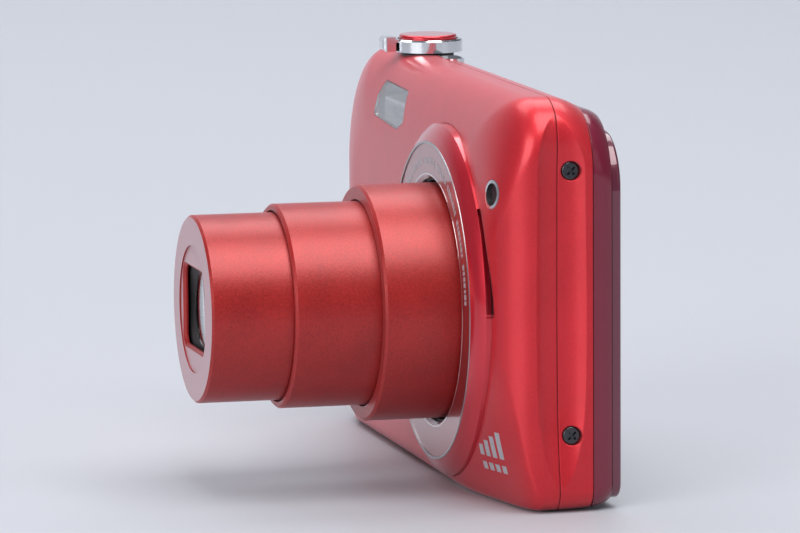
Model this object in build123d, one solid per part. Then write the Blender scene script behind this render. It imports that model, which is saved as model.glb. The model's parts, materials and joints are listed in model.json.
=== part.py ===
from build123d import *
import math
import os

# A compact digital camera with its zoom lens run out, in millimetres.
# X runs along its width, Y from the lens (-Y) to the monitor (+Y), and Z is up.
# The origin is the mouth of the tripod socket, in the surface that the camera stands on.

# Overall sizes
body_width = 96.8
body_height = 57.8
body_depth = 20.5  # front of the lens ring to the back of the monitor plate

# Layers of the body, from front to back
ring_rise = 2.15  # the lens ring stands this proud of the front cover
mid_frame_depth = 4.8
rear_cover_depth = 3.1
plate_depth = 1.45
seam = 0.12  # shadow gap between two covers

# Fits
close_gap = 0.05  # round a piece set into a cover
press_gap = 0.02  # round a piece pressed into its seat
pin_gap = 0.01  # round a fixed pin

# Walls
front_wall = 1.6
side_wall = 2.9
floor_wall = 1.5
roof_wall = 1.4
rear_wall = 1.0

# Rounding of the front cover: reach in from the edge, and rise over its depth
near_reach = 7.5
far_reach = 11.0
far_rise = 4.9
top_reach = 12.0
edge_rise = 6.5
bottom_reach = 2.2
far_corner = 11.0
near_corner = 7.5  # at the parting line; the next two lie further back
rear_corner = 8.5
cover_corner = 9.5
plate_corner = 7.8
low_corner = 3.0
rear_low_corner = 2.4
# Extra rounding of the front face's corners, which dies out over the edge's rise
low_swell = 20.0
far_low_swell = 1.5
near_swell = 4.5

# How far the rear end of each layer stands in from the body's outline
mid_step = 0.3
mid_roof_step = 1.7
rear_step = 1.6
rear_roof_step = 2.9
plate_step = 1.8
plate_low_step = 1.2
plate_roof_step = 5.2
plate_edge = 0.5
foot_share = 0.6  # how much of a side step is taken at the foot

# Finger scoop along the near side
scoop_radius = 5.2
scoop_depth = 1.5
scoop_y = 1.2
# Its floor line: height over the bottom or under the top, and share of the full depth
scoop_foot = [(-1.0, -0.4), (3.4, 0.0), (5.7, 0.22), (7.8, 0.44), (10.4, 0.66), (13.4, 0.87), (17.5, 1.0)]
scoop_head = [(17.0, 1.0), (11.8, 0.97), (8.0, 0.87), (6.2, 0.76), (4.1, 0.92)]
scoop_head += [(2.7, 1.27), (1.8, 1.75), (0.8, 2.33), (-1.0, 3.9)]

# Microphone slot in the lens ring's wall
mic_slot_depth = 1.0
mic_slot_width = 1.5

# Lens
lens_x = 18.2
lens_z = 26.5
ring_radius = 25.3
ring_seat_depth = 1.0
ring_swell = 0.12
trim_radius = 22.85
trim_width = 0.32
mouth_radius = 17.5
plate_sink = 0.15  # ring plate and its neighbours step down by this much
ring_plate_thickness = 0.8
housing_radius = 19.0
housing_wall = 1.8
housing_back_y = 5.2
housing_floor = 0.6
barrel_radii = [16.9, 14.6, 13.4]
barrel_walls = [2.05, 0.9, 1.0]
barrel_fronts = [-20.8, -33.2, -45.0]
barrel_lengths = [13.8, 14.2, 13.6]
barrel_chamfer = 0.35

# Lens front
front_thickness = 0.85
dish_radius = 9.1
dish_depth = 0.2
window_width = 14.0
window_height = 11.4
window_corner = 1.5
window_bevel = 0.4
blade_thickness = 0.12
blade_gap = 0.05
blade_height = 3.4
blade_inset = 0.2  # an open blade stands this far clear of the window
blade_radius = 12.1
glass_radius = 5.6
glass_dome = 50.0
glass_thickness = 2.2
rear_group_radius = 6.0
rear_group_length = 3.6
motor_radius = 3.0
motor_shaft = 0.7
motor_across = 16.8  # from the lens axis
motor_up = 20.0
motor_front = -4.6
motor_back = 4.0

# Top controls
shutter_x = -26.4
base_radius = 3.9
collar_clearance = 0.2
zoom_ring_radius = 5.2
zoom_ring_bore = 4.55
zoom_ring_height = 1.9
zoom_tab_reach = 7.3
zoom_tab_width = 3.2
zoom_tab_thickness = 2.0
shutter_radius = 4.35
shutter_top = 2.85  # height over the body
shutter_thickness = 1.35
stem_radius = 1.2
power_x = -17.4
power_y = 2.3
power_length = 6.6
power_width = 2.8

# Flash and lamp
# Across, and down from the top
flash_outline = [(-25.0, 8.9), (-10.6, 9.7), (-7.0, 8.3), (-9.0, 4.0), (-23.1, 3.7), (-24.9, 6.0)]
flash_thickness = 1.3
lamp_x = 42.6
lamp_under = 13.4  # below the top
lamp_radius = 2.05
lamp_rim = 0.45
reflector_ends = [-23.0, -9.0]
reflector_unders = [10.8, 6.4]
reflector_depth = 3.0
reflector_wall = 0.4
tube_radius = 0.8
capacitor_radius = 3.2
capacitor_ends = [-41.0, -23.6]
capacitor_y = 0.2
capacitor_under = 10.4

# Battery, card and door
battery_width = 31.5
battery_height = 40.0
battery_depth = 6.0
battery_inset = 22.8  # from the far wall to the battery's middle
battery_front = -5.5
battery_z = 2.0
box_wall = 0.4
box_clearance = 0.2
card_width = 24.0
card_height = 32.0
card_depth = 2.1
card_front = 1.6
card_z = 3.0
slot_wall = 0.25
slot_clearance = 0.15
door_length = 34.0
door_thickness = 0.9
door_front = -6.0
pin_y = 4.5
pin_radius = 0.3
knuckle_radius = 0.7
door_clearance = 0.2
running_clearance = 0.05
latch_length = 6.0
latch_width = 3.0
latch_travel = 1.5
latch_inset = 9.0  # from the door's near end to the lock's middle

# Back
window_x = 14.2
monitor_z = 27.5
monitor_width = 58.0
monitor_height = 43.4
monitor_corner = 1.5
lcd_width = 60.0
lcd_height = 45.6
lcd_depth = 2.5
chassis_gap = 2.1  # between the stamped plate and the side walls
chassis_low = 7.0
chassis_under = 5.0
chassis_corners = [2.0, 2.0, 7.0, 6.0]
board_thickness = 0.4
board_low = 6.0
board_under = 4.8  # the main board stops this far below the top
board_right = -3.0
button_clearance = 0.15
button_sink = 0.05
key_flange = 0.5
key_flange_thickness = 0.5
selector_x = -30.5
selector_z = 25.0
selector_radius = 8.2
ok_radius = 3.6
# Rear keys: X, Z and radius
keys = {
    "record_button": (-38.2, 45.2, 2.7),
    "mode_button": (-37.0, 37.4, 2.3),
    "playback_button": (-24.0, 37.4, 2.3),
    "menu_button": (-37.0, 12.4, 2.3),
    "delete_button": (-24.0, 12.4, 2.3),
    "multi_selector": (selector_x, selector_z, selector_radius),
}
charge_place = (-28.5, 46.5)
charge_radius = 0.8

# Fasteners and small parts
screw_head_radius = 1.25
screw_head_height = 0.7
screw_radius = 0.7
screw_length = 4.0
screw_y = 2.75
bottom_screw_y = 3.25
screw_clearance = 0.12
screw_sink = 0.1
boss_radius = 1.45
# Height of the lower screw in each side, and how far the upper one is below the top
side_screw_ends = [10.7, 9.9]
far_screw_ends = [6.5, 9.3]
bottom_screw_places = [12.0, 40.0]
socket_radius = 3.175  # 1/4 inch tripod thread, major radius
socket_depth = 5.5
socket_boss = 4.6
eyelet_low = 10.0
eyelet_high = 17.0
eyelet_y = 3.3
eyelet_radius = 0.6
port_low = 32.0
port_high = 41.0
flap_low = 30.0
flap_high = 42.4
flap_thickness = 1.2
flap_knuckle = 0.5
flap_clearance = 0.15
speaker_x = 29.0
speaker_radius = 2.0
sensor_width = 10.0
sensor_height = 8.0

# Depths worked out from the layers
ring_front = -body_depth / 2
face_y = ring_front + ring_rise
back_y = body_depth / 2
plate_y = back_y - plate_depth
rear_y = plate_y - rear_cover_depth
parting_y = rear_y - mid_frame_depth
seat_y = face_y + ring_seat_depth
half_width = body_width / 2
battery_x = -half_width + side_wall + battery_inset
lamp_z = body_height - lamp_under
reflector_heights = [body_height - under for under in reflector_unders]
capacitor_z = body_height - capacitor_under
side_screw_heights = [side_screw_ends[0], body_height - side_screw_ends[1]]
far_screw_heights = [far_screw_ends[0], body_height - far_screw_ends[1]]
front_cavity_y = face_y + front_wall
rear_cavity_y = plate_y - rear_wall


def box(low, high):
    # A block between two opposite corners.
    size = [high[i] - low[i] for i in range(3)]
    middle = [(high[i] + low[i]) / 2 for i in range(3)]
    return Pos(*middle) * Box(*size)


def rod_x(y, z, radius, start, end):
    return Pos((start + end) / 2, y, z) * Rot(0, 90, 0) * Cylinder(radius, end - start)


def rod_y(x, z, radius, front, back):
    return Pos(x, (front + back) / 2, z) * Rot(90, 0, 0) * Cylinder(radius, back - front)


def rod_z(x, y, radius, low, high):
    return Pos(x, y, (low + high) / 2) * Cylinder(radius, high - low)


def tube_y(x, z, outer, inner, front, back):
    return rod_y(x, z, outer, front, back) - rod_y(x, z, inner, front - 1, back + 1)


def outline(left, right, low, high, rounds):
    # A rectangle drawn flat, its corners rounded in turn: lower far and near, upper far and near.
    sheet = Pos((left + right) / 2, (low + high) / 2) * Rectangle(right - left, high - low)
    places = [(row, end) for row in (0, -1) for end in (0, -1)]
    for (row, end), radius in zip(places, rounds):
        corner = sheet.vertices().group_by(Axis.Y)[row].sort_by(Axis.X)[end]
        sheet = fillet(corner, radius)
    return sheet


def upright(sheet, y):
    # A flat drawing stood up at y, so that its height becomes Z.
    return Plane((0, y, 0), x_dir=(1, 0, 0), z_dir=(0, -1, 0)) * sheet


def slab(sheet, front, back):
    return extrude(upright(sheet, back), amount=back - front)


def layer_outline(side, low, roof, low_round=low_corner, near_round=near_corner):
    # The body's outline, in by these amounts at the sides, bottom and top.
    right = half_width - side
    return outline(-right, right, low, body_height - roof, [low_round, low_round, far_corner, near_round])


def edge_inset(depth, reach, rise):
    # How far a quarter-ellipse edge stands in from the side at this depth behind the face.
    if depth >= rise:
        return 0.0
    return reach * (1 - math.sqrt(1 - ((rise - depth) / rise) ** 2))


def front_form(front, side, low, roof):
    # The front cover's domed form, in by a wall at the front, sides, bottom and top.
    rise = edge_rise - front
    sections = []
    for degrees in range(0, 91, 15):
        depth = rise * (1 - math.cos(math.radians(degrees)))
        left = -half_width + side + edge_inset(depth, far_reach, far_rise - front)
        right = half_width - side - edge_inset(depth, near_reach, rise)
        bottom = low + edge_inset(depth, bottom_reach, bottom_reach - front / 2)
        top = body_height - roof - edge_inset(depth, top_reach, rise)
        swell = (1 + math.cos(math.pi * depth / rise)) / 2
        near_high = near_corner + near_swell * swell
        near_room = top - bottom - near_high - seam  # the side's height left for its lower corner
        near_low = min(low_corner + low_swell * swell, near_room)
        rounds = [low_corner + far_low_swell * swell, near_low, far_corner, near_high]
        sheet = outline(left, right, bottom, top, rounds)
        sections.append(upright(sheet, face_y + front + depth))
    straight = layer_outline(side, low, roof)
    return loft(sections) + slab(straight, face_y + edge_rise, parting_y)


def stepped_form(front, back, side_steps, roof_steps, low_round, near_rounds):
    # A layer whose outline draws in smoothly from front to back.
    depths = [front, (front + back) / 2, back]
    shares = [0.0, 0.3, 1.0]
    sections = []
    for depth, share in zip(depths, shares):
        side = side_steps[0] + share * (side_steps[1] - side_steps[0])
        roof = roof_steps[0] + share * (roof_steps[1] - roof_steps[0])
        near_round = near_rounds[0] + share * (near_rounds[1] - near_rounds[0])
        sheet = layer_outline(side, side * foot_share, roof, low_round, near_round)
        sections.append(upright(sheet, depth))
    return loft(sections)


scoop_line = scoop_foot + [(body_height - under, share) for under, share in scoop_head]


def scoop_axis(z):
    # X of the scoop's axis at this height.
    for (low, low_share), (high, high_share) in zip(scoop_line, scoop_line[1:]):
        if low <= z <= high:
            share = low_share + (high_share - low_share) * (z - low) / (high - low)
            return half_width - scoop_depth * share + scoop_radius


def scoop():
    # The bowed rod that hollows the near side and dies out near the corners.
    return loft([Pos(scoop_axis(z), scoop_y, z) * Circle(scoop_radius) for z, share in scoop_line])


def scoop_floor(y, z):
    # X of the scoop's surface at this depth and height.
    return scoop_axis(z) - math.sqrt(scoop_radius**2 - (y - scoop_y) ** 2)


door_left = battery_x - door_length / 2
door_right = battery_x + door_length / 2
pin_z = knuckle_radius


def door_opening():
    # Space for the battery door, its knuckle and what passes through.
    groove = knuckle_radius + door_clearance
    left = door_left - door_clearance
    right = door_right + door_clearance
    opening = box((left, door_front - door_clearance, -1), (right, pin_y, floor_wall + 1))
    rear = box((left, pin_y - groove, -1), (right, pin_y + groove, pin_z))
    return opening + rear + rod_x(pin_y, pin_z, groove, left, right)


def flash_sheet(grow):
    corners = [(x, body_height - under) for x, under in flash_outline]
    sheet = make_face(Polyline(*corners, close=True))
    sheet = fillet(sheet.vertices(), 0.8)
    return offset(sheet, grow) if grow else sheet


def power_sheet(grow):
    return Pos(power_x, power_y) * SlotOverall(power_length + 2 * grow, power_width + 2 * grow)


def mic_slot(shrink):
    # A short arc in the lens ring's outer wall, on its near side.
    middle = ring_radius - mic_slot_depth + mic_slot_width / 2
    arc = CenterArc((lens_x, lens_z), middle, 3, 33)
    return SlotArc(arc, mic_slot_width - 2 * shrink)


base_low = body_height - 4.5
base_high = body_height + 0.8


def control_holes():
    # Holes through the roof for the shutter's base and the power button.
    base = rod_z(shutter_x, parting_y, base_radius + close_gap, base_low - 1, body_height + 1)
    well = extrude(Pos(0, 0, body_height - 5) * power_sheet(button_clearance), amount=8)
    return base + well


def front_cover():
    cover = front_form(0, 0, 0, 0) - front_form(front_wall, side_wall, floor_wall, roof_wall)
    cover -= box((-half_width, parting_y - seam, -1), (half_width, parting_y + 1, body_height + 1))
    cover -= rod_y(lens_x, lens_z, ring_radius + close_gap, face_y - 1, seat_y)
    cover -= rod_y(lens_x, lens_z, housing_radius + 0.3, face_y - 1, parting_y - 2)
    cover -= slab(flash_sheet(0.08), face_y - 1, front_cavity_y + 3)
    cover -= rod_y(lamp_x, lamp_z, lamp_radius + close_gap, face_y - 1, face_y + 5)
    cover -= slab(mic_slot(0), face_y - 1, slot_back_y)
    cover -= rod_z(0, 0, socket_boss + close_gap, -1, floor_wall + 1)
    return cover - scoop() - door_opening() - control_holes()


def side_places():
    # The side screws' heads, each with its shank running inwards.
    near = [Pos(scoop_floor(screw_y, z), screw_y, z) * Rot(0, 90, 0) for z in side_screw_heights]
    far = [Pos(-half_width, screw_y, z) * Rot(0, -90, 0) for z in far_screw_heights]
    return near + far


def bottom_places():
    return [Pos(x, bottom_screw_y, 0) * Rot(180, 0, 0) for x in bottom_screw_places]


def screw_hole():
    head = rod_z(0, 0, screw_head_radius + screw_clearance, -screw_head_height - screw_sink, 3)
    return head + rod_z(0, 0, screw_radius + press_gap, -screw_length - 0.5, 0)


def screw_boss():
    return rod_z(0, 0, boss_radius, -screw_length - 1, -screw_head_height - screw_sink - 0.2)


def flap_space(grow):
    # The connector cover's place in the far side, with its knuckle at the lower end.
    low = flap_low + flap_knuckle
    front = parting_y + 0.4 - grow
    back = rear_y - 0.5 + grow
    leaf = box((-half_width, front, low), (-half_width + flap_thickness + grow, back, flap_high + grow))
    return leaf + rod_y(-half_width + flap_knuckle, low, flap_knuckle + grow, front, back)


def mid_frame():
    rounds = [near_corner, rear_corner]
    frame = stepped_form(parting_y, rear_y, [0, mid_step], [0, mid_roof_step], low_corner, rounds)
    cavity = layer_outline(side_wall, floor_wall, roof_wall + mid_roof_step)
    frame -= slab(cavity, parting_y - 1, rear_y + 1)
    places = side_places() + bottom_places()
    for place in places:
        frame += place * screw_boss()
    frame -= scoop()
    for place in places:
        frame -= place * screw_hole()
    frame -= rod_z(0, 0, socket_boss + close_gap, -1, floor_wall + 1)
    frame -= door_opening()
    frame -= rod_x(pin_y, pin_z, pin_radius + pin_gap, door_left - 1.5, door_right + 1.5)
    frame -= flap_space(flap_clearance)
    port_end = -half_width + side_wall + 1
    frame -= box((-half_width - 1, parting_y + 0.8, port_low), (port_end, rear_y - 0.8, port_high))
    recess_end = -half_width + 2.4
    frame -= box((-half_width - 1, eyelet_y - 2.0, eyelet_low), (recess_end, eyelet_y + 2.0, eyelet_high))
    frame -= rod_z(-half_width + 0.7, eyelet_y, eyelet_radius + pin_gap, eyelet_low - 1, eyelet_high + 1)
    return frame - control_holes()


def rear_cover():
    start = rear_y + seam
    sides = [mid_step + 0.15, rear_step]
    roofs = [mid_roof_step + 0.2, rear_roof_step]
    cover = stepped_form(start, plate_y, sides, roofs, rear_low_corner, [rear_corner, cover_corner])
    cavity = layer_outline(side_wall + 0.6, floor_wall + 1.1, rear_roof_step + 1.5)
    cover -= slab(cavity, start - 1, rear_cavity_y)
    cover -= slab(lcd_sheet(0.2), start, plate_y + 1)
    for name in keys:
        cover -= key_rod(name, keys[name][2] + button_clearance, rear_cavity_y - 1, plate_y + 1)
    return cover - rod_y(*charge_place, charge_radius + close_gap, rear_cavity_y - 1, plate_y + 1)


def lcd_sheet(grow):
    return Pos(window_x, monitor_z) * Rectangle(lcd_width + 2 * grow, lcd_height + 2 * grow)


def monitor_sheet(grow):
    width = monitor_width + 2 * grow
    height = monitor_height + 2 * grow
    return Pos(window_x, monitor_z) * RectangleRounded(width, height, monitor_corner)


def key_rod(name, radius, front, back):
    return rod_y(keys[name][0], keys[name][1], radius, front, back)


def back_plate():
    sheet = layer_outline(plate_step, plate_low_step, plate_roof_step, rear_low_corner, plate_corner)
    plate = slab(sheet, plate_y + seam, back_y)
    plate = fillet(plate.faces().sort_by(Axis.Y)[-1].edges(), plate_edge)
    plate -= slab(monitor_sheet(close_gap), plate_y - 1, back_y + 1)
    for name in keys:
        plate -= key_rod(name, keys[name][2] + button_clearance, plate_y - 1, back_y + 1)
    return plate - rod_y(*charge_place, charge_radius + close_gap, plate_y - 1, back_y + 1)


def monitor_window():
    return slab(monitor_sheet(0), plate_y + seam, back_y - button_sink)


def lcd_panel():
    return slab(lcd_sheet(0), plate_y - lcd_depth, plate_y - 0.1)


def chassis():
    # The stamped plate between the lens and the monitor.
    back = plate_y - lcd_depth - 0.2
    right = half_width - side_wall - chassis_gap
    sheet = outline(-right, right, chassis_low, body_height - chassis_under, chassis_corners)
    plate = slab(sheet, back - 0.5, back)
    for x in (-34, -12, 12, 34):
        plate -= rod_y(x, 10, 1.2, back - 2, back + 2)
    return plate


def key(name):
    # A round key with a flange that stays behind the rear cover.
    x, z, radius = keys[name]
    cap = rod_y(x, z, radius, rear_cavity_y - 0.8, back_y - button_sink)
    cap = chamfer(cap.edges().sort_by(Axis.Y)[-1], 0.25)
    flange_back = rear_cavity_y - 0.3
    return cap + rod_y(x, z, radius + key_flange, flange_back - key_flange_thickness, flange_back)


def multi_selector():
    ring = key("multi_selector")
    return ring - rod_y(selector_x, selector_z, ok_radius + button_clearance, 0, back_y + 1)


def ok_button():
    cap = rod_y(selector_x, selector_z, ok_radius, rear_cavity_y - 0.8, back_y - button_sink)
    return chamfer(cap.edges().sort_by(Axis.Y)[-1], 0.25)


def charge_lamp():
    return rod_y(*charge_place, charge_radius, rear_cavity_y - 0.4, back_y - button_sink)


def turned_sheet(sheet):
    profile = Plane((lens_x, 0, lens_z), x_dir=(1, 0, 0), z_dir=(0, 0, 1)) * sheet
    return revolve(profile, Axis((lens_x, 0, lens_z), (0, 1, 0)), 360)


def turned(points):
    # A ring turned about the lens axis from radius and depth pairs.
    return turned_sheet(make_face(Polyline(*points, close=True)))


flange_y = ring_front + plate_sink + ring_plate_thickness
knee_y = ring_front + 0.77 * ring_rise
slot_back_y = seat_y - 0.15


def lens_ring():
    # The bright flared ring round the lens, with the ledge that its plate lies on.
    bore = housing_radius + 0.35
    lip = (trim_radius + press_gap, ring_front + 0.1)
    knee = (ring_radius - 0.1, knee_y)
    middle = ((lip[0] + knee[0]) / 2 + ring_swell, (lip[1] + knee[1]) / 2 - ring_swell)
    flare = ThreePointArc(lip, middle, knee)
    wall = [knee, (ring_radius, knee_y + 0.1), (ring_radius, seat_y), (bore, seat_y), (bore, flange_y)]
    wall = Polyline(*wall, (trim_radius + press_gap, flange_y), lip)
    return turned_sheet(make_face(flare + wall)) - slab(mic_slot(0), knee_y + 0.12, slot_back_y)


def ring_trim():
    return tube_y(lens_x, lens_z, trim_radius, trim_radius - trim_width, ring_front, flange_y)


def ring_plate():
    outer = trim_radius - trim_width - press_gap
    front = ring_front + plate_sink
    lip = (mouth_radius + 0.4, front)
    mouth = [(mouth_radius, front + 0.4), (mouth_radius, flange_y)]
    return turned([(outer, front), lip, *mouth, (outer, flange_y)])


def lens_housing():
    inner = housing_radius - housing_wall
    shell = tube_y(lens_x, lens_z, housing_radius, inner, flange_y + 0.1, housing_back_y)
    floor = rod_y(lens_x, lens_z, housing_radius, housing_back_y - housing_floor, housing_back_y)
    return shell + (floor - slab(sensor_sheet(0.1), 0, housing_back_y + 1))


def sensor_sheet(grow):
    return Pos(lens_x, lens_z) * Rectangle(sensor_width + 2 * grow, sensor_height + 2 * grow)


def image_sensor():
    return slab(sensor_sheet(0), housing_back_y - housing_floor + 0.05, housing_back_y)


def barrel(number):
    outer = barrel_radii[number]
    front = barrel_fronts[number]
    inner = outer - barrel_walls[number]
    back = front + barrel_lengths[number]
    rim = outer - barrel_chamfer
    points = [(inner, front), (rim, front), (outer, front + barrel_chamfer), (outer, back), (inner, back)]
    return turned(points)


def lens_window(grow=0.0):
    width = window_width + 2 * grow
    height = window_height + 2 * grow
    return Pos(lens_x, lens_z) * RectangleRounded(width, height, window_corner + grow)


def front_barrel():
    # The innermost barrel, closed by a face with the lens window in it.
    front = barrel_fronts[2]
    face = rod_y(lens_x, lens_z, barrel_radii[2] - barrel_walls[2] + 0.1, front, front + front_thickness)
    shape = barrel(2) + face
    shape -= rod_y(lens_x, lens_z, dish_radius, front - 1, front + dish_depth)
    shape -= slab(lens_window(), front - 1, front + front_thickness + 1)
    mouth = front + dish_depth - 0.05
    bevel = window_bevel + 0.05
    return shape - loft([upright(lens_window(bevel), mouth), upright(lens_window(), mouth + bevel)])


blade_fronts = [barrel_fronts[2] + front_thickness + blade_gap]
blade_fronts.append(blade_fronts[0] + blade_thickness + blade_gap)
baffle_y = blade_fronts[1] + blade_thickness + blade_gap


def blade(row, side):
    # A barrier blade parked above (side 1) or below (side -1) the window.
    near = window_height / 2 + blade_inset
    middle = lens_z + side * (near + blade_height / 2)
    strip = Pos(lens_x, middle) * Rectangle(window_width + 1, blade_height)
    front = blade_fronts[row]
    disc = rod_y(lens_x, lens_z, blade_radius, front, front + blade_thickness)
    return slab(strip, front, front + blade_thickness) & disc


def lens_baffle():
    back = baffle_y + glass_thickness + 0.4
    outer = barrel_radii[2] - barrel_walls[2] - 0.05
    points = [(outer, baffle_y), (outer, back), (glass_radius + press_gap, back)]
    return turned(points + [(glass_radius + press_gap, baffle_y + 0.5), (glass_radius + 2.2, baffle_y)])


def front_lens():
    # The front element: a disc with a domed front.
    front = baffle_y + 0.02
    disc = rod_y(lens_x, lens_z, glass_radius, front, front + glass_thickness)
    dome = Pos(lens_x, front + glass_dome, lens_z) * Sphere(glass_dome)
    return disc & dome


def rear_lens_group():
    back = housing_back_y - housing_floor - 0.4
    return rod_y(lens_x, lens_z, rear_group_radius, back - rear_group_length, back)


motor_place = (lens_x + motor_across, lens_z + motor_up)


def zoom_motor():
    body = rod_y(*motor_place, motor_radius, motor_front, motor_back)
    return body + rod_y(*motor_place, motor_shaft, motor_front - 1, motor_front)


def flash_window():
    # A clear window that follows the cover's curve.
    wall = flash_thickness
    shell = front_form(0, 0, 0, 0) - front_form(wall, wall, wall, wall)
    return shell & slab(flash_sheet(0), face_y - 1, parting_y - 1)


reflector_y = face_y + flash_thickness + 1.3


def flash_reflector():
    # A trough of thin bright metal behind the flash window.
    left, right = reflector_ends
    low, high = reflector_heights
    wall = reflector_wall
    back = reflector_y + reflector_depth
    hollow = box((left + wall, reflector_y - 1, low + wall), (right - wall, back - wall, high - wall))
    return box((left, reflector_y, low), (right, back, high)) - hollow


def flash_tube():
    left, right = reflector_ends
    middle = sum(reflector_heights) / 2
    return rod_x(reflector_y + 1.4, middle, tube_radius, left + 1, right - 1)


def flash_capacitor():
    return rod_x(capacitor_y, capacitor_z, capacitor_radius, *capacitor_ends)


def af_lamp_bezel():
    ring = tube_y(lamp_x, lamp_z, lamp_radius, lamp_radius - lamp_rim, face_y, face_y + 2.6)
    return ring & front_form(0, 0, 0, 0)


def af_lamp_lens():
    inner = lamp_radius - lamp_rim - press_gap
    return rod_y(lamp_x, lamp_z, inner, face_y + 1.1, face_y + 2.6)


def microphone():
    # The grille strip on the floor of its slot.
    strip = slab(mic_slot(close_gap), slot_back_y - 0.25, slot_back_y)
    return strip & rod_y(lens_x, lens_z, ring_radius, face_y, seat_y)


def speaker():
    return rod_z(speaker_x, screw_y + 0.8, speaker_radius, floor_wall + 0.1, floor_wall + 2.0)


def shutter_base():
    return tube_z(shutter_x, parting_y, base_radius, stem_radius + 0.1, base_low, base_high)


def tube_z(x, y, outer, inner, low, high):
    return rod_z(x, y, outer, low, high) - rod_z(x, y, inner, low - 1, high + 1)


ring_low = body_height + 0.3
ring_high = ring_low + zoom_ring_height


def zoom_ring():
    ring = tube_z(shutter_x, parting_y, zoom_ring_radius, zoom_ring_bore, ring_low, ring_high)
    ring = chamfer(ring.edges().group_by(Axis.Z)[-1].sort_by(SortBy.LENGTH)[-1], 0.25)
    collar_bore = base_radius + collar_clearance
    ring += tube_z(shutter_x, parting_y, zoom_ring_bore + 0.1, collar_bore, ring_low, ring_low + 0.4)
    tip = parting_y - zoom_tab_reach
    heel = tip + zoom_tab_thickness
    half = zoom_tab_width / 2
    tab = box((shutter_x - half, tip, ring_low + 0.1), (shutter_x + half, heel, ring_high + 0.4))
    tab = fillet(tab.faces().sort_by(Axis.Y)[0].edges(), 0.7)
    web_back = parting_y - zoom_ring_bore - 0.1
    low = (shutter_x - half, heel - 0.3, ring_high - 0.45)
    return ring + tab + box(low, (shutter_x + half, web_back, ring_high - 0.05))


def shutter_button():
    high = body_height + shutter_top
    cap = rod_z(shutter_x, parting_y, shutter_radius, high - shutter_thickness, high)
    cap = fillet(cap.edges().sort_by(Axis.Z)[-1], 0.35)
    return cap + rod_z(shutter_x, parting_y, stem_radius, base_low + 0.5, high - shutter_thickness)


def power_button():
    low = body_height - roof_wall - mid_roof_step - 0.15
    cap = extrude(Pos(0, 0, low) * power_sheet(0), amount=body_height + 0.1 - low)
    return cap + extrude(Pos(0, 0, low - 0.6) * power_sheet(0.6), amount=0.6)


def battery():
    left = battery_x - battery_width / 2
    low = (left, battery_front, battery_z)
    cell = box(low, (left + battery_width, battery_front + battery_depth, battery_z + battery_height))
    return fillet(cell.edges().filter_by(Axis.Z), 0.8)


def battery_box():
    # The sleeve that the battery slides into, open at the bottom.
    left = battery_x - battery_width / 2 - box_clearance
    right = battery_x + battery_width / 2 + box_clearance
    front = battery_front - box_clearance
    back = battery_front + battery_depth + box_clearance
    top = battery_z + battery_height + box_clearance
    low = (left - box_wall, front - box_wall, battery_z - 0.3)
    outer = box(low, (right + box_wall, back + box_wall, top + box_wall))
    return outer - box((left, front, 0), (right, back, top))


def memory_card():
    left = battery_x - card_width / 2
    card = box((left, card_front, card_z), (left + card_width, card_front + card_depth, card_z + card_height))
    corner = Pos(left, 0, card_z + card_height) * Rot(0, 45, 0) * Box(5.6, 20, 5.6)
    return card - corner


def card_slot():
    left = battery_x - card_width / 2 - slot_clearance
    right = battery_x + card_width / 2 + slot_clearance
    front = card_front - slot_clearance
    back = card_front + card_depth + slot_clearance
    top = card_z + card_height + slot_clearance
    outer = box((left - 0.5, front - slot_wall, card_z + 1), (right + 0.5, back + slot_wall, top + 0.5))
    return outer - box((left, front, 0), (right, back, top))


def main_board():
    back = plate_y - lcd_depth - 0.9
    low = (battery_x - 16, back - board_thickness, board_low)
    return box(low, (board_right, back, body_height - board_under))


def latch_sheet(grow):
    # The lock's plan on the door.
    middle = (door_front + pin_y) / 2
    return Pos(door_right - latch_inset, middle) * Rectangle(latch_length + 2 * grow, latch_width + 2 * grow)


def battery_door():
    panel = box((door_left, door_front, 0), (door_right, pin_y, door_thickness))
    panel += rod_x(pin_y, pin_z, knuckle_radius, door_left, door_right)
    panel -= rod_x(pin_y, pin_z, pin_radius + running_clearance, door_left - 1, door_right + 1)
    slot = Pos(latch_travel / 2, 0, -1) * latch_slot()
    return panel - slot


def latch_slot():
    middle = (door_front + pin_y) / 2
    length = latch_length + latch_travel + 0.3
    sheet = Rectangle(length, latch_width + 0.2)
    return extrude(Pos(door_right - latch_inset, middle) * sheet, amount=door_thickness + 2)


def door_latch():
    # The small sliding lock in the door, held by a flange on the inside.
    slider = extrude(Pos(0, 0, 0.05) * latch_sheet(0), amount=door_thickness)
    return slider + extrude(Pos(0, 0, door_thickness + 0.05) * latch_sheet(0.8), amount=0.35)


def hinge_pin():
    return rod_x(pin_y, pin_z, pin_radius, door_left - 1.3, door_right + 1.3)


def connector_cover():
    return flap_space(0)


def usb_connector():
    # A metal shell with a tongue, behind the connector cover.
    left = -half_width + 1.6
    low = (left, parting_y + 1.1, port_low + 0.4)
    high = (left + 5.5, rear_y - 1.1, port_high - 0.4)
    shell = box(low, high)
    inner_low = (left - 1, low[1] + 0.3, low[2] + 0.3)
    inner_high = (high[0] - 0.4, high[1] - 0.3, high[2] - 0.3)
    middle_y = (low[1] + high[1]) / 2
    tongue = box((left + 0.8, middle_y - 0.3, low[2] + 1.5), (high[0] - 0.4, middle_y + 0.3, high[2] - 1.5))
    return shell - box(inner_low, inner_high) + tongue


def strap_eyelet():
    return rod_z(-half_width + 0.7, eyelet_y, eyelet_radius, eyelet_low - 0.9, eyelet_high + 0.9)


def tripod_socket():
    boss = rod_z(0, 0, socket_boss, 0, socket_depth + 1)
    return boss - rod_z(0, 0, socket_radius, -1, socket_depth)


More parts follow.
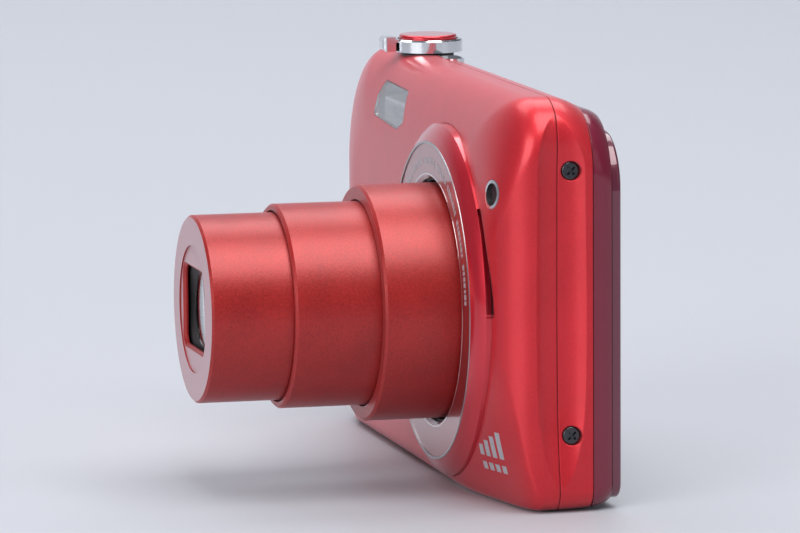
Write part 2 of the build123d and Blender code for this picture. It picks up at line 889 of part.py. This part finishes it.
def screw():
    # A small cross-head screw, its head's top at the origin and its shank along -Z.
    head = rod_z(0, 0, screw_head_radius, -screw_head_height + 0.08, 0)
    head = fillet(head.edges().sort_by(Axis.Z)[-1], 0.2)
    for turn in (0, 90):
        head -= Rot(0, 0, turn + 45) * box((-0.75, -0.2, -0.45), (0.75, 0.2, 1))
    return head + rod_z(0, 0, screw_radius, -screw_length, -screw_head_height + 0.1)


def screws(places):
    return Compound([place * Pos(0, 0, -screw_sink) * screw() for place in places])


parts = {
    "front_cover": front_cover,
    "mid_frame": mid_frame,
    "rear_cover": rear_cover,
    "back_plate": back_plate,
    "monitor_window": monitor_window,
    "lcd_panel": lcd_panel,
    "chassis": chassis,
    "lens_ring": lens_ring,
    "ring_trim": ring_trim,
    "ring_plate": ring_plate,
    "lens_housing": lens_housing,
    "image_sensor": image_sensor,
    "zoom_motor": zoom_motor,
    "barrel_1": lambda: barrel(0),
    "barrel_2": lambda: barrel(1),
    "barrel_3": front_barrel,
    "blade_outer_upper": lambda: blade(0, 1),
    "blade_outer_lower": lambda: blade(0, -1),
    "blade_inner_upper": lambda: blade(1, 1),
    "blade_inner_lower": lambda: blade(1, -1),
    "lens_baffle": lens_baffle,
    "front_lens": front_lens,
    "rear_lens_group": rear_lens_group,
    "flash_window": flash_window,
    "flash_reflector": flash_reflector,
    "flash_tube": flash_tube,
    "flash_capacitor": flash_capacitor,
    "af_lamp_bezel": af_lamp_bezel,
    "af_lamp_lens": af_lamp_lens,
    "microphone": microphone,
    "speaker": speaker,
    "shutter_base": shutter_base,
    "zoom_ring": zoom_ring,
    "shutter_button": shutter_button,
    "power_button": power_button,
    "record_button": lambda: key("record_button"),
    "mode_button": lambda: key("mode_button"),
    "playback_button": lambda: key("playback_button"),
    "menu_button": lambda: key("menu_button"),
    "delete_button": lambda: key("delete_button"),
    "multi_selector": multi_selector,
    "ok_button": ok_button,
    "charge_lamp": charge_lamp,
    "main_board": main_board,
    "battery": battery,
    "battery_box": battery_box,
    "memory_card": memory_card,
    "card_slot": card_slot,
    "battery_door": battery_door,
    "door_latch": door_latch,
    "door_hinge_pin": hinge_pin,
    "connector_cover": connector_cover,
    "usb_connector": usb_connector,
    "strap_eyelet": strap_eyelet,
    "tripod_socket": tripod_socket,
    "side_screws": lambda: screws(side_places()),
    "bottom_screws": lambda: screws(bottom_places()),
}

os.makedirs("parts", exist_ok=True)
for name, make in parts.items():
    export_step(make(), f"parts/{name}.step")
    print("wrote", name)
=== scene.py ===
import bmesh
import bpy
import json
import math
from mathutils import Matrix, Vector

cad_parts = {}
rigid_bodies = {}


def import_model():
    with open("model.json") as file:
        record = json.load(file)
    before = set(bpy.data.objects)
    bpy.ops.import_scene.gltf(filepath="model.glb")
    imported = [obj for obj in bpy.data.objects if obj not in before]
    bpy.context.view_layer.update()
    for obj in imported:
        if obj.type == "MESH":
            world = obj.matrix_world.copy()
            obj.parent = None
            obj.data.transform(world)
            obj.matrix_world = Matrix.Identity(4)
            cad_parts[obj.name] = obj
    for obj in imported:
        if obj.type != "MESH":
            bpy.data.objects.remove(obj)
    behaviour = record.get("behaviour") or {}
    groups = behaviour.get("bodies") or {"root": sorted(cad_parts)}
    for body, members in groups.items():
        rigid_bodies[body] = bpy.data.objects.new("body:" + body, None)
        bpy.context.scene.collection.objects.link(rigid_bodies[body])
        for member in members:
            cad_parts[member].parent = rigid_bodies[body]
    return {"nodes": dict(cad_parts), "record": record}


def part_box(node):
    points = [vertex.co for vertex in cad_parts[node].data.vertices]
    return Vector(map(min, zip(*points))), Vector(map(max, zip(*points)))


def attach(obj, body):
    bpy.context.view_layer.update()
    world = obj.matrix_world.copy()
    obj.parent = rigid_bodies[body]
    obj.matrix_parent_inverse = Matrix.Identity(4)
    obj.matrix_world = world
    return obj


for leftover in list(bpy.data.objects):  # the start-up cube, lamp and camera
    bpy.data.objects.remove(leftover)
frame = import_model()
bpy.context.view_layer.update()
nodes = frame["nodes"]
print("frame loaded:", len(nodes), "nodes")

mm = 0.001


def middle(node):
    low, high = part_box(node)
    return (low + high) / 2


# camera: long lens, low and nearly in line with the width of the body
camera = dict(azimuth=76.14, elevation=7.43, roll=-0.32, distance=0.8875,
              target=(-0.00045, -0.010, 0.0290), lens=272.8, sensor=36.0, clip=(0.02, 20))


def placeCamera():
    a, e = math.radians(camera["azimuth"]), math.radians(camera["elevation"])
    back = Vector((math.sin(a) * math.cos(e), -math.cos(a) * math.cos(e), math.sin(e)))
    data = bpy.data.cameras.new("mainCamera")
    data.lens, data.sensor_width = camera["lens"], camera["sensor"]
    data.clip_start, data.clip_end = camera["clip"]
    obj = bpy.data.objects.new("mainCamera", data)
    bpy.context.scene.collection.objects.link(obj)
    turn = (-back).to_track_quat("-Z", "Y").to_matrix().to_4x4()
    roll = Matrix.Rotation(math.radians(camera["roll"]), 4, "Z")
    place = Matrix.Translation(Vector(camera["target"]) + back * camera["distance"])
    obj.matrix_world = place @ turn @ roll
    bpy.context.scene.camera = obj


placeCamera()
print("camera placed")


# studio: a pale sweep and four soft panes of light
def pane(name, place, aim, size, power, colour):
    data = bpy.data.lights.new(name, "AREA")
    data.shape = "RECTANGLE"
    data.size, data.size_y = size
    data.energy = power
    data.color = colour
    obj = bpy.data.objects.new(name, data)
    bpy.context.scene.collection.objects.link(obj)
    obj.location = place
    obj.visible_camera = False
    obj.rotation_mode = "QUATERNION"
    obj.rotation_quaternion = (Vector(aim) - Vector(place)).to_track_quat("-Z", "Y")


studio = dict(sky=(0.70, 0.75, 0.84), skyPower=0.22, floor=(0.455, 0.470, 0.512), floorRough=0.45,
              floorShine=0.2, floorNear=2.4, floorMiddle=0.3, halfWidth=3.0, sweepStart=-0.80,
              sweepRadius=0.85, sweepSteps=24, backdropTop=3.0, drop=0.0002)
panes = {
    "overhead": dict(place=(0.42, 0.12, 1.0), aim=(0, 0, 0), size=(0.9, 0.8), power=11.8,
                     colour=(1, 0.99, 0.98)),
    "frontFill": dict(place=(0.98, -1.34, 0.60), aim=(0, 0, 0.03), size=(1.2, 0.9), power=15.3,
                      colour=(0.98, 0.99, 1)),
    "sideFill": dict(place=(0.70, 0.75, 0.35), aim=(0, 0, 0.03), size=(0.4, 0.6), power=0.3,
                     colour=(0.98, 0.99, 1)),
    "backdropWash": dict(place=(-0.80, 0.0, 1.15), aim=(-0.8, 0, 0.0), size=(0.9, 1.8), power=17.0,
                         colour=(0.97, 0.98, 1)),
}


def buildStudio():
    world = bpy.data.worlds.new("studioAir")
    bpy.context.scene.world = world
    world.use_nodes = True
    air = world.node_tree.nodes["Background"]
    air.inputs["Color"].default_value = (*studio["sky"], 1)
    air.inputs["Strength"].default_value = studio["skyPower"]
    bpy.context.scene.view_settings.view_transform = "Standard"
    # floor, with its far edge rolled up into a backdrop
    steps = studio["sweepSteps"]
    start, radius = studio["sweepStart"], studio["sweepRadius"]
    profile = [(studio["floorNear"], 0.0), (studio["floorMiddle"], 0.0), (start, 0.0)]
    for i in range(1, steps + 1):
        t = i / steps * math.pi / 2
        profile.append((start - radius * math.sin(t), radius * (1 - math.cos(t))))
    profile.append((start - radius, studio["backdropTop"]))
    verts = [(x, y, z) for x, z in profile for y in (-studio["halfWidth"], studio["halfWidth"])]
    faces = [(2 * i, 2 * i + 1, 2 * i + 3, 2 * i + 2) for i in range(len(profile) - 1)]
    mesh = bpy.data.meshes.new("sweep")
    mesh.from_pydata(verts, [], faces)
    for face in mesh.polygons:
        face.use_smooth = True
    sweep = bpy.data.objects.new("sweep", mesh)
    bpy.context.scene.collection.objects.link(sweep)
    sweep.location.z = -studio["drop"]  # just clear of the body's foot
    paper = bpy.data.materials.new("palePaper")
    paper.use_nodes = True
    shader = paper.node_tree.nodes["Principled BSDF"]
    shader.inputs["Base Color"].default_value = (*studio["floor"], 1)
    shader.inputs["Roughness"].default_value = studio["floorRough"]
    shader.inputs["Specular IOR Level"].default_value = studio["floorShine"]
    mesh.materials.append(paper)
    for name, settings in panes.items():
        pane(name, **settings)


buildStudio()
print("studio built")


# finishes
class Wires:
    # short way to add and join shader nodes in one material
    def __init__(self, name):
        self.material = bpy.data.materials.new(name)
        self.material.use_nodes = True
        self.tree = self.material.node_tree
        self.shader = self.tree.nodes["Principled BSDF"]
        self.where = self.add("ShaderNodeTexCoord").outputs["Object"]

    def add(self, kind, **settings):
        node = self.tree.nodes.new(kind)
        for key, value in settings.items():
            if hasattr(node, key):
                setattr(node, key, value)
            else:
                node.inputs[key].default_value = value
        return node

    def join(self, a, b):
        self.tree.links.new(a, b)

    def noise(self, scale, detail=3.0, roughness=0.5, stretch=None):
        node = self.add("ShaderNodeTexNoise", Scale=scale, Detail=detail, Roughness=roughness)
        place = self.where
        if stretch:
            spread = self.add("ShaderNodeMapping")
            spread.inputs["Scale"].default_value = stretch
            self.join(self.where, spread.inputs["Vector"])
            place = spread.outputs["Vector"]
        self.join(place, node.inputs["Vector"])
        return node.outputs["Fac"]

    def ramp(self, fac, low, high, start=0.3, end=0.7):
        node = self.add("ShaderNodeValToRGB")
        node.color_ramp.elements[0].position, node.color_ramp.elements[1].position = start, end
        node.color_ramp.elements[0].color, node.color_ramp.elements[1].color = (*low, 1), (*high, 1)
        self.join(fac, node.inputs["Fac"])
        return node.outputs["Color"]

    def span(self, fac, low, high):
        node = self.add("ShaderNodeMapRange")
        node.inputs["To Min"].default_value, node.inputs["To Max"].default_value = low, high
        self.join(fac, node.inputs["Value"])
        return node.outputs["Result"]

    def bump(self, height, strength, distance, soften=0.0):
        node = self.add("ShaderNodeBump", Strength=strength, Distance=distance)
        self.join(height, node.inputs["Height"])
        if soften:  # sharp edges read as slightly rounded
            edge = self.add("ShaderNodeBevel", samples=6, Radius=soften)
            self.join(edge.outputs["Normal"], node.inputs["Normal"])
        self.join(node.outputs["Normal"], self.shader.inputs["Normal"])

    def sockets(self, **values):
        for key, value in values.items():
            self.shader.inputs[key.replace("_", " ")].default_value = value


mottle = dict(fineDetail=4.0, fineRoughness=0.7, broadScale=140, broadDetail=2.0, broadShare=0.35,
              start=0.45, end=0.9)  # how the fine grain and a broad cloudiness mix


def grained(name, low, high, grain, metallic, rough, relief, soften=0.0, **sockets):
    # a finish with a fine grain: colour, roughness and height all vary a little
    w = Wires(name)
    fine = w.noise(grain, detail=mottle["fineDetail"], roughness=mottle["fineRoughness"])
    broad = w.noise(mottle["broadScale"], detail=mottle["broadDetail"])
    blend = w.add("ShaderNodeMath", operation="MULTIPLY_ADD")
    w.join(broad, blend.inputs[0])
    blend.inputs[1].default_value = mottle["broadShare"]
    w.join(fine, blend.inputs[2])
    mixed = w.ramp(blend.outputs[0], low, high, mottle["start"], mottle["end"])
    w.join(mixed, w.shader.inputs["Base Color"])
    w.join(w.span(fine, rough[0], rough[1]), w.shader.inputs["Roughness"])
    w.bump(fine, relief[0], relief[1], soften)
    w.sockets(Metallic=metallic, **sockets)
    return w.material


finishes = {
    "bodyPaint": grained("bodyPaint", (0.52, 0.009, 0.018), (0.68, 0.016, 0.030), 5200, 0.50, (0.42, 0.50),
                         (0.16, 0.00002), 0.00035, Coat_Weight=0.55, Coat_Roughness=0.22, Coat_IOR=1.45,
                         Sheen_Weight=0.20, Sheen_Roughness=0.35, Sheen_Tint=(0.88, 0.90, 1.0, 1)),
    "anodised": grained("anodised", (0.25, 0.006, 0.006), (0.46, 0.016, 0.014), 3600, 0.25, (0.30, 0.42),
                        (0.55, 0.00004), IOR=1.62, Sheen_Weight=0.10, Sheen_Roughness=0.30,
                        Sheen_Tint=(0.9, 0.9, 1.0, 1)),
    # greyer copy of the anodised finish for the front barrel's flat face: the grey in its base colour is
    # painted reflection
    "barrelFacePaintedReflection": grained("barrelFacePaintedReflection", (0.30, 0.030, 0.040), (0.40, 0.050, 0.060), 3600, 0.35, (0.30, 0.40),
                          (0.25, 0.00003), Coat_Weight=0.6, Coat_Roughness=0.25, Sheen_Weight=0.4,
                          Sheen_Tint=(0.9, 0.92, 1.0, 1)),
    "brightRing": grained("brightRing", (0.56, 0.008, 0.024), (0.64, 0.014, 0.034), 9000, 0.6, (0.27, 0.30),
                          (0.02, 0.00001), Coat_Weight=1.0, Coat_Roughness=0.08, Coat_IOR=1.5),
    "ringFace": grained("ringFace", (0.24, 0.010, 0.012), (0.32, 0.016, 0.018), 5000, 0.5, (0.30, 0.36),
                        (0.10, 0.00001), IOR=1.7, Coat_Weight=1.0, Coat_Roughness=0.12, Coat_IOR=1.8),
    "rearGloss": grained("rearGloss", (0.170, 0.005, 0.026), (0.200, 0.008, 0.034), 6000, 0.2, (0.25, 0.28),
                         (0.03, 0.00001), 0.0002, Coat_Weight=0.5, Coat_Roughness=0.05),
    "plateGloss": grained("plateGloss", (0.120, 0.012, 0.034), (0.140, 0.016, 0.040), 6000, 0.25,
                          (0.24, 0.28), (0.03, 0.00001), Coat_Weight=1.0, Coat_Roughness=0.03, Coat_IOR=1.55),
    "chrome": grained("chrome", (0.78, 0.79, 0.81), (0.86, 0.87, 0.89), 1500, 1.0, (0.08, 0.14),
                      (0.02, 0.00001)),
    "blackPlastic": grained("blackPlastic", (0.012, 0.012, 0.013), (0.020, 0.020, 0.021), 3000, 0.0,
                            (0.45, 0.6), (0.25, 0.00003)),
    "screwBlack": grained("screwBlack", (0.05, 0.05, 0.055), (0.10, 0.10, 0.11), 4000, 0.9, (0.22, 0.34),
                          (0.2, 0.00002)),
    "satinTrim": grained("satinTrim", (0.42, 0.42, 0.44), (0.50, 0.50, 0.52), 4000, 0.9, (0.30, 0.38),
                         (0.05, 0.00001)),
    "reflectorWhite": grained("reflectorWhite", (0.80, 0.81, 0.84), (0.90, 0.91, 0.94), 1500, 0.35,
                              (0.25, 0.35), (0.05, 0.00001)),
    "markGrey": grained("markGrey", (0.38, 0.37, 0.40), (0.48, 0.47, 0.50), 3000, 0.2, (0.35, 0.45),
                        (0.1, 0.00001)),
    "blackSteel": grained("blackSteel", (0.020, 0.020, 0.022), (0.045, 0.045, 0.048), 2600, 0.85,
                          (0.28, 0.42), (0.2, 0.00002)),
    "steel": grained("steel", (0.45, 0.45, 0.47), (0.58, 0.58, 0.60), 2200, 0.95, (0.28, 0.40),
                     (0.15, 0.00002)),
    "board": grained("board", (0.010, 0.10, 0.045), (0.016, 0.15, 0.065), 900, 0.0, (0.35, 0.5),
                     (0.2, 0.00003)),
    "cellWrap": grained("cellWrap", (0.03, 0.03, 0.035), (0.05, 0.05, 0.055), 1500, 0.0, (0.4, 0.5),
                        (0.1, 0.00002)),
    "cardPlastic": grained("cardPlastic", (0.02, 0.05, 0.16), (0.03, 0.07, 0.2), 1800, 0.0, (0.4, 0.5),
                           (0.2, 0.00002)),
    "brass": grained("brass", (0.55, 0.45, 0.28), (0.68, 0.57, 0.38), 1600, 1.0, (0.25, 0.36),
                     (0.15, 0.00002)),
    "greyKey": grained("greyKey", (0.20, 0.19, 0.20), (0.26, 0.25, 0.26), 2500, 0.5, (0.3, 0.4),
                       (0.1, 0.00002), Coat_Weight=0.3, Coat_Roughness=0.15),
    "darkWindow": grained("darkWindow", (0.006, 0.006, 0.008), (0.010, 0.010, 0.012), 800, 0.0, (0.05, 0.08),
                          (0.01, 0.00001), Coat_Weight=1.0, Coat_Roughness=0.02),
}


glass = dict(tintScale=400, shade=0.94, smearScale=900, smear=0.03)


def glassy(name, tint, rough, ior, weight=1.0):
    # a clear finish whose tint and polish vary a little
    w = Wires(name)
    shaded = tuple(c * glass["shade"] for c in tint)
    w.join(w.ramp(w.noise(glass["tintScale"]), shaded, tint), w.shader.inputs["Base Color"])
    w.join(w.span(w.noise(glass["smearScale"]), rough, rough + glass["smear"]), w.shader.inputs["Roughness"])
    w.sockets(Transmission_Weight=weight, IOR=ior)
    return w.material


finishes["clear"] = glassy("clear", (0.95, 0.97, 1.0), 0.02, 1.49)
finishes["lampGlass"] = glassy("lampGlass", (0.10, 0.055, 0.065), 0.08, 1.5, 0.35)
finishes["frosted"] = glassy("frosted", (0.96, 0.97, 1.0), 0.08, 1.49, 0.9)

wears = {
    "bodyPaint": ["front_cover", "mid_frame"],
    "anodised": ["barrel_1", "barrel_2", "barrel_3"],
    "brightRing": ["lens_ring", "shutter_button"],
    "ringFace": ["ring_plate"],
    "rearGloss": ["rear_cover", "battery_door", "connector_cover"],
    "plateGloss": ["back_plate"],
    "satinTrim": ["ring_trim"],
    "chrome": ["zoom_ring", "power_button", "strap_eyelet", "af_lamp_bezel"],
    "reflectorWhite": ["flash_reflector"],
    "lampGlass": ["af_lamp_lens"],
    "blackPlastic": ["lens_housing", "lens_baffle", "shutter_base", "battery_box", "image_sensor",
                     "lcd_panel", "flash_capacitor"],
    "blackSteel": ["blade_outer_upper", "blade_outer_lower", "blade_inner_upper", "blade_inner_lower",
                   "microphone", "speaker"],
    "screwBlack": ["side_screws", "bottom_screws"],
    "steel": ["chassis", "card_slot", "usb_connector", "door_hinge_pin", "zoom_motor"],
    "board": ["main_board"],
    "cellWrap": ["battery"],
    "cardPlastic": ["memory_card"],
    "brass": ["tripod_socket"],
    "greyKey": ["record_button", "mode_button", "playback_button", "menu_button", "delete_button",
                "multi_selector", "ok_button", "door_latch"],
    "clear": ["front_lens", "rear_lens_group", "flash_tube", "charge_lamp"],
    "frosted": ["flash_window"],
    "darkWindow": ["monitor_window"],
}
for finish, names in wears.items():
    for name in names:
        nodes[name].data.materials.clear()
        nodes[name].data.materials.append(finishes[finish])


def faceWears(node, finish, test):
    # the node's faces whose normals pass the test wear another finish
    mesh = nodes[node].data
    mesh.materials.append(finishes[finish])
    for polygon in mesh.polygons:
        if test(polygon.normal):
            polygon.material_index = 1


faceWears("barrel_3", "barrelFacePaintedReflection", lambda normal: normal.y < -0.95)  # flat front wears a greyer copy of the barrel finish, its grey base colour a painted reflection of the pale studio
faceWears("af_lamp_bezel", "blackPlastic", lambda normal: normal.y > -0.3)  # inner wall black as painted shade in the recess, inside its bright chrome rim
print("finishes on")


# raised marks: thin prisms that lie on a surface and ride with it
bodyWith = {node: body for body, held in frame["record"]["behaviour"]["bodies"].items() for node in held}
thick = 0.03 * mm  # of every mark


def prisms(name, node, bases, push, finish):
    # each base outline pushed out into a prism, left open where it lies on the surface
    mesh = bpy.data.meshes.new(name)
    shape = bmesh.new()
    for points in bases:
        base = [shape.verts.new(point) for point in points]
        top = [shape.verts.new(v.co + push) for v in base]
        shape.faces.new(top)
        for i in range(len(base)):
            j = (i + 1) % len(base)
            shape.faces.new((base[i], base[j], top[j], top[i]))
    bmesh.ops.recalc_face_normals(shape, faces=shape.faces)
    shape.to_mesh(mesh)
    shape.free()
    obj = bpy.data.objects.new(name, mesh)
    bpy.context.scene.collection.objects.link(obj)
    mesh.materials.append(finishes[finish])
    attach(obj, bodyWith[node])


def raised(name, node, outlines, place, across, up, finish):
    # outlines are lists of (across, up) points in millimetres about place
    bases = [[place + (across * u + up * v) * mm for u, v in outline] for outline in outlines]
    prisms(name, node, bases, across.cross(up) * thick, finish)


def bar(u, v, width, height, turn=0.0):
    # an upright or turned rectangle
    c, s = math.cos(turn), math.sin(turn)
    corners = [(-width / 2, -height / 2), (width / 2, -height / 2),
               (width / 2, height / 2), (-width / 2, height / 2)]
    return [(u + a * c - b * s, v + a * s + b * c) for a, b in corners]


def disc(u, v, radius, sides=28):
    return [(u + radius * math.cos(2 * math.pi * i / sides), v + radius * math.sin(2 * math.pi * i / sides))
            for i in range(sides)]


def arcBand(radius, width, start, end, steps):
    # pieces of a ring between two angles in degrees
    bands = []
    for i in range(steps):
        a, b = (math.radians(start + (end - start) * k / steps) for k in (i, i + 1))
        inner, outer = radius - width / 2, radius + width / 2
        bands.append([(inner * math.cos(a), inner * math.sin(a)), (outer * math.cos(a), outer * math.sin(a)),
                      (outer * math.cos(b), outer * math.sin(b)), (inner * math.cos(b), inner * math.sin(b))])
    return bands


# ring plate: a bright rim at the mouth and an arc of plain dashes
plate = dict(rimRadius=18.15, rimWidth=0.12, rimSteps=120, dashRadius=20.1, dashHeight=0.9,
             dashLengths=(0.55, 0.8, 0.45, 0.7, 0.6), start=6, end=186, gap=2.4, group=7, groupGap=2.6)
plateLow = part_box("ring_plate")[0]
lensMiddle = middle("ring_plate")
plateFront = Vector((lensMiddle.x, plateLow.y, lensMiddle.z))
right, upward, forward = Vector((1, 0, 0)), Vector((0, 0, 1)), Vector((0, 1, 0))
mouthRim = arcBand(plate["rimRadius"], plate["rimWidth"], 0, 360, plate["rimSteps"])
raised("mouthRim", "ring_plate", mouthRim, plateFront, right, upward, "chrome")
dashes = []
angle, count = plate["start"], 0
while angle < plate["end"]:
    length = plate["dashLengths"][count % len(plate["dashLengths"])]
    turn = math.radians(angle)
    dashes.append(bar(plate["dashRadius"] * math.cos(turn), plate["dashRadius"] * math.sin(turn),
                      plate["dashHeight"], length, turn))
    count += 1
    angle += plate["gap"] + (plate["groupGap"] if count % plate["group"] == 0 else 0)
raised("ringDashes", "ring_plate", dashes, plateFront, right, upward, "markGrey")
print("ring marks on")


# low on the front, near side: a plain zoom sign of rising bars over four short ones
def coverFront(x, z):
    # the front cover's surface at this place, found from the front
    turn = nodes["front_cover"].matrix_world.inverted()
    start = turn @ Vector((x, -1, z))
    where = nodes["front_cover"].ray_cast(start, turn.to_3x3() @ forward)[1]
    return nodes["front_cover"].matrix_world @ where


def laidOn(name, node, outlines, low, span, finish):
    # outlines in shares of a box at low with size span, laid on the curved front
    bases = [[coverFront(low[0] + u * span[0], low[1] + v * span[1]) for u, v in outline]
             for outline in outlines]
    prisms(name, node, bases, -forward * thick, finish)


signBox = dict(fromNear=11.6 * mm, up=4.4 * mm, wide=6.4 * mm, tall=6.4 * mm)
signBars = dict(count=4, pitch=0.27, width=0.17, foot=0.40, piece=0.12, shortFoot=0.08, shortTop=0.25)
coverLow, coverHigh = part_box("front_cover")
signLow = (coverHigh.x - signBox["fromNear"], coverLow.z + signBox["up"])
signShapes = []
for step in range(signBars["count"]):
    near = signBars["pitch"] * step
    far = near + signBars["width"]
    heights = []
    for row in range(2 + step):  # in short lengths, so that each follows the curve
        foot = signBars["foot"] + signBars["piece"] * row
        heights.append((foot, foot + signBars["piece"]))
    heights.append((signBars["shortFoot"], signBars["shortTop"]))
    for foot, top in heights:
        signShapes.append([(near, foot), (far, foot), (far, top), (near, top)])
laidOn("zoomSign", "front_cover", signShapes, signLow, (signBox["wide"], signBox["tall"]), "markGrey")
print("zoom sign on")


# rear keys: plain signs, read from behind
def keySign(key, outlines):
    low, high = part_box(key)
    place = Vector(((low.x + high.x) / 2, high.y, (low.z + high.z) / 2))
    raised(key + "Sign", key, outlines, place, -right, upward, "markGrey")


arrow = dict(out=5.8, length=0.9, half=0.8)
arrowCorners = ((0.0, -arrow["half"]), (arrow["length"], 0.0), (0.0, arrow["half"]))
arrows = []
for quarter in range(4):
    turn = quarter * math.pi / 2
    c, s = math.cos(turn), math.sin(turn)
    arrows.append([(arrow["out"] * c - v * s + d * c, arrow["out"] * s + v * c + d * s)
                   for d, v in arrowCorners])

# in millimetres about each key's middle
keySigns = {
    "playback_button": [[(-0.6, -0.8), (0.9, 0.0), (-0.6, 0.8)]],
    "menu_button": [bar(0, row, 1.8, 0.28) for row in (-0.7, 0.0, 0.7)],
    "delete_button": [bar(0, -0.2, 1.2, 1.3), bar(0, 0.75, 1.7, 0.28)],
    "mode_button": [bar(0, 0.75, 1.9, 0.25), bar(0, -0.75, 1.9, 0.25), bar(-0.83, 0, 0.25, 1.25),
                    bar(0.83, 0, 0.25, 1.25)],
    "record_button": [disc(0, 0, 0.8)],
    "ok_button": arcBand(1.3, 0.3, 0, 360, 40),
    "multi_selector": arrows,
}
for key, outlines in keySigns.items():
    keySign(key, outlines)
print("keys signed")
